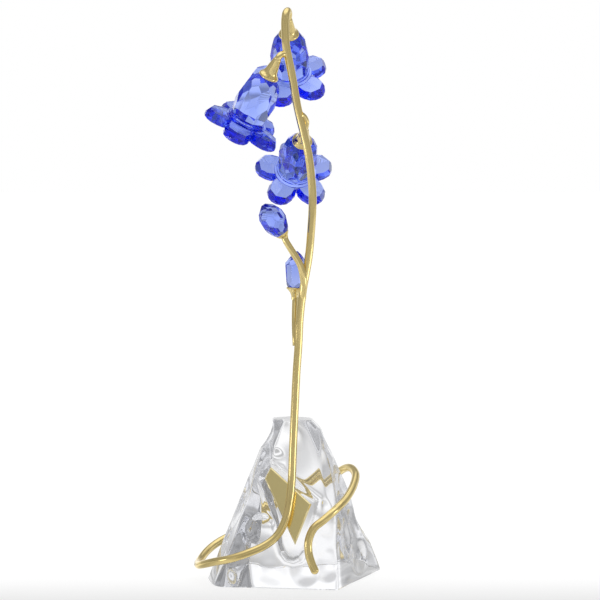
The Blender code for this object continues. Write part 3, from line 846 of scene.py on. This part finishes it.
for budName, bud in buds.items():
    place = leaning(bud["foot"], bud["lean"], bud["heading"], bud["turn"])
    points, facets = cutGem(*ringCuts(bud["rings"], bud["top"], 0.0))
    piece = addPiece(f"bud{budName.capitalize()}", place(points), facets, budCrystal, f"bud_{budName}",
                     "blue_crystal", smooth=False)
    softEdges(piece, softEdge["crystal"])
print("buds made")


# Studio

studio = {
    "camera": (0, -1.15, 0.186), "pitch": 2.8, "lens": 150, "sensor": 36, "clipStart": 0.05,
    "bounces": 32,              # light crosses many facets before it leaves the crystal
    # the ramps hold brightness divided by this, and the background multiplies it back, so that it can pass 1
    "headroom": 2.0,
    # brightness against how far a direction points away from the viewer, and against how high it points
    "level": ((-1, 0.50), (-0.5, 0.50), (-0.1, 0.50), (0.02, 0.42), (0.08, 0.22), (0.16, 0.38), (0.55, 0.5),
              (0.78, 0.85), (0.92, 1.0), (1, 1.02)),
    # the same for directions well above or below level, and how far the level value holds
    "steep": ((-1, 0.50), (-0.3, 0.48), (0.0, 0.40), (0.5, 0.42), (1, 0.46)),
    "band": ((-1, 0.0), (-0.42, 0.0), (-0.18, 1.0), (0.2, 1.0), (0.45, 0.0), (1, 0.0)),
    "height": ((-1, 0.0), (0.6, 0.0), (0.9, 0.75), (1, 0.9)),
    # share of it that comes through the crystal, by direction as for level: it is darker behind the viewer
    "through": ((-1, 0.8), (-0.2, 0.8), (0.1, 0.95), (0.4, 1.0), (1, 1.0)),
    # shade of the floor far off and just before the object, strength of its painted glow, and the share of
    # light it really reflects
    "floorFar": 1.0, "floorNear": 0.74, "floorGlow": 0.9, "floorPaper": 0.15, "floorSize": 30.0,
    "floorDrop": 0.0001, "floorRough": 0.9, "floorGloss": 0.1,
    # the painted shade on the floor ends between these distances from the object, and between these depths
    "floorFade": (0.25, 0.9), "floorFront": (-0.10, 0.03),
    # what the crystal sees of the floor: painted patches of light and shade in its glow, between these two,
    # of about this many to the metre
    "floorThrough": (0.45, 1.1), "floorPatches": 28.0,
    # soft patches in the light of the surroundings in the same way, by direction
    "airThrough": (0.78, 1.2), "airPatches": 7.0, "patchDetail": 0.5, "patchStretch": (0.5, 1, 1),
    # soft panels low at both sides
    "panels": {"leftPanel": (-0.62, -0.26, 0.02), "rightPanel": (0.62, -0.22, 0.02)},
    "panelAim": (0, 0, 0.03), "panelSize": (0.17, 0.2), "panelPower": 0.3,
}


def mixColours(tree, factor, first, second, kind="MIX"):
    # each of the two is a socket or a plain grey
    mix = tree.nodes.new("ShaderNodeMix")
    mix.data_type = "RGBA"
    mix.blend_type = kind
    mix.inputs["Factor"].default_value = 1.0
    if factor:
        tree.links.new(factor, mix.inputs["Factor"])
    for socket, value in (("A", first), ("B", second)):
        if isinstance(value, float):
            mix.inputs[socket].default_value = (value, value, value, 1)
        else:
            tree.links.new(value, mix.inputs[socket])
    return mix.outputs["Result"]


def softPatches(tree, coordinate, scale, low, high):
    # slow changes of brightness between two values
    noise = addNoise(tree, scale, studio["patchDetail"], studio["patchStretch"], coordinate)
    return spreadNoise(tree, noise, low, high, patchSpan)


def makeWorld():
    # white behind the object, grey where the camera stands and at the sides, a broad soft light overhead
    world = bpy.data.worlds.new("studio")
    bpy.context.scene.world = world
    world.use_nodes = True
    tree = world.node_tree
    background = tree.nodes["Background"]
    background.inputs["Strength"].default_value = studio["headroom"]
    place = tree.nodes.new("ShaderNodeTexCoord")
    split = tree.nodes.new("ShaderNodeSeparateXYZ")
    tree.links.new(place.outputs["Generated"], split.inputs["Vector"])

    def ramp(output, stops, headroom=1.0):
        # brightness against one part of the direction, eased from stop to stop
        spread = tree.nodes.new("ShaderNodeMapRange")
        spread.inputs["From Min"].default_value = -1
        spread.inputs["From Max"].default_value = 1
        tree.links.new(split.outputs[output], spread.inputs["Value"])
        colours = tree.nodes.new("ShaderNodeValToRGB")
        colours.color_ramp.interpolation = "EASE"
        marks = colours.color_ramp.elements
        while len(marks) < len(stops):
            marks.new(0.5)
        for mark, (at, value) in zip(marks, stops):
            mark.position = (at + 1) / 2
            mark.color = (*[value / headroom] * 3, 1)
        tree.links.new(spread.outputs["Result"], colours.inputs["Fac"])
        return colours.outputs["Color"]

    headroom = studio["headroom"]
    steep, level = ramp("Y", studio["steep"], headroom), ramp("Y", studio["level"], headroom)
    around = mixColours(tree, ramp("Z", studio["band"]), steep, level)
    total = mixColours(tree, None, around, ramp("Z", studio["height"], headroom), "ADD")
    patches = softPatches(tree, "Generated", studio["airPatches"], *studio["airThrough"])
    total = mixColours(tree, None, total, patches, "MULTIPLY")
    seen = tree.nodes.new("ShaderNodeLightPath")
    through = ramp("Y", studio["through"])
    total = mixColours(tree, seen.outputs["Is Transmission Ray"], total, through, "MULTIPLY")
    white = mixColours(tree, seen.outputs["Is Camera Ray"], total, 1 / headroom)
    tree.links.new(white, background.inputs["Color"])


def makeFloor():
    # one wide pale sheet that glows with painted light, so that it stays bright under the crystal where
    # shadow would fall, and darker just before the object
    size, level = studio["floorSize"], -studio["floorDrop"]
    mesh = bpy.data.meshes.new("floor")
    corners = [(-size, -size, level), (size, -size, level), (size, size, level), (-size, size, level)]
    mesh.from_pydata(corners, [], [(0, 1, 2, 3)])
    floor = bpy.data.objects.new("floor", mesh)
    bpy.context.scene.collection.objects.link(floor)
    material, tree, shader = newMaterial("floorPaper")
    shader.inputs["Roughness"].default_value = studio["floorRough"]
    shader.inputs["Specular IOR Level"].default_value = studio["floorGloss"]
    place = tree.nodes.new("ShaderNodeTexCoord")
    split = tree.nodes.new("ShaderNodeSeparateXYZ")
    away = tree.nodes.new("ShaderNodeVectorMath")
    away.operation = "LENGTH"
    tree.links.new(place.outputs["Object"], split.inputs["Vector"])
    tree.links.new(place.outputs["Object"], away.inputs["Vector"])

    def softStep(source, low, high):
        # eased from 0 at low to 1 at high
        step = tree.nodes.new("ShaderNodeMapRange")
        step.interpolation_type = "SMOOTHSTEP"
        step.inputs["From Min"].default_value = low
        step.inputs["From Max"].default_value = high
        tree.links.new(source, step.inputs["Value"])
        return step.outputs["Result"]

    # painted shade: the floor's glow and colour darker just before the object
    distant = softStep(away.outputs["Value"], *studio["floorFade"])
    near = mixColours(tree, distant, studio["floorNear"], studio["floorFar"])
    behind = softStep(split.outputs["Y"], *studio["floorFront"])
    shade = mixColours(tree, behind, near, studio["floorFar"])
    paper = mixColours(tree, None, shade, studio["floorPaper"], "MULTIPLY")
    tree.links.new(paper, shader.inputs["Base Color"])
    # painted light: the floor glows in this shade, so that no shadow darkens it
    tree.links.new(shade, shader.inputs["Emission Color"])
    # painted light and shade: patches in the glow that only rays other than the camera's see
    through = softPatches(tree, "Object", studio["floorPatches"], *studio["floorThrough"])
    seen = tree.nodes.new("ShaderNodeLightPath")
    glow = mixColours(tree, seen.outputs["Is Camera Ray"], through, 1.0)
    glow = mixColours(tree, None, glow, studio["floorGlow"], "MULTIPLY")
    tree.links.new(glow, shader.inputs["Emission Strength"])
    mesh.materials.append(material)


def makeLight(name, place):
    # a soft panel turned towards the rock's foot
    lamp = bpy.data.lights.new(name, "AREA")
    lamp.shape = "RECTANGLE"
    lamp.size, lamp.size_y = studio["panelSize"]
    lamp.energy = studio["panelPower"]
    light = bpy.data.objects.new(name, lamp)
    bpy.context.scene.collection.objects.link(light)
    look = Vector(studio["panelAim"]) - Vector(place)
    light.rotation_euler = look.to_track_quat("-Z", "Y").to_euler()
    light.location = place
    light.visible_transmission = False      # shines on the metal, but isn't seen through the crystal


def makeCamera():
    # the photograph's estimated viewpoint, looking slightly down
    data = bpy.data.cameras.new("camera")
    data.lens = studio["lens"]
    data.sensor_width = studio["sensor"]
    data.clip_start = studio["clipStart"]
    camera = bpy.data.objects.new("camera", data)
    bpy.context.scene.collection.objects.link(camera)
    camera.location = studio["camera"]
    camera.rotation_euler = (math.radians(90 - studio["pitch"]), 0, 0)
    bpy.context.scene.camera = camera
    for limit in ("max_bounces", "transmission_bounces", "glossy_bounces"):
        setattr(bpy.context.scene.cycles, limit, studio["bounces"])


makeWorld()
makeFloor()
for panelName, panelPlace in studio["panels"].items():
    makeLight(panelName, panelPlace)
makeCamera()
bpy.context.scene.view_settings.view_transform = "Standard"
print("studio made")
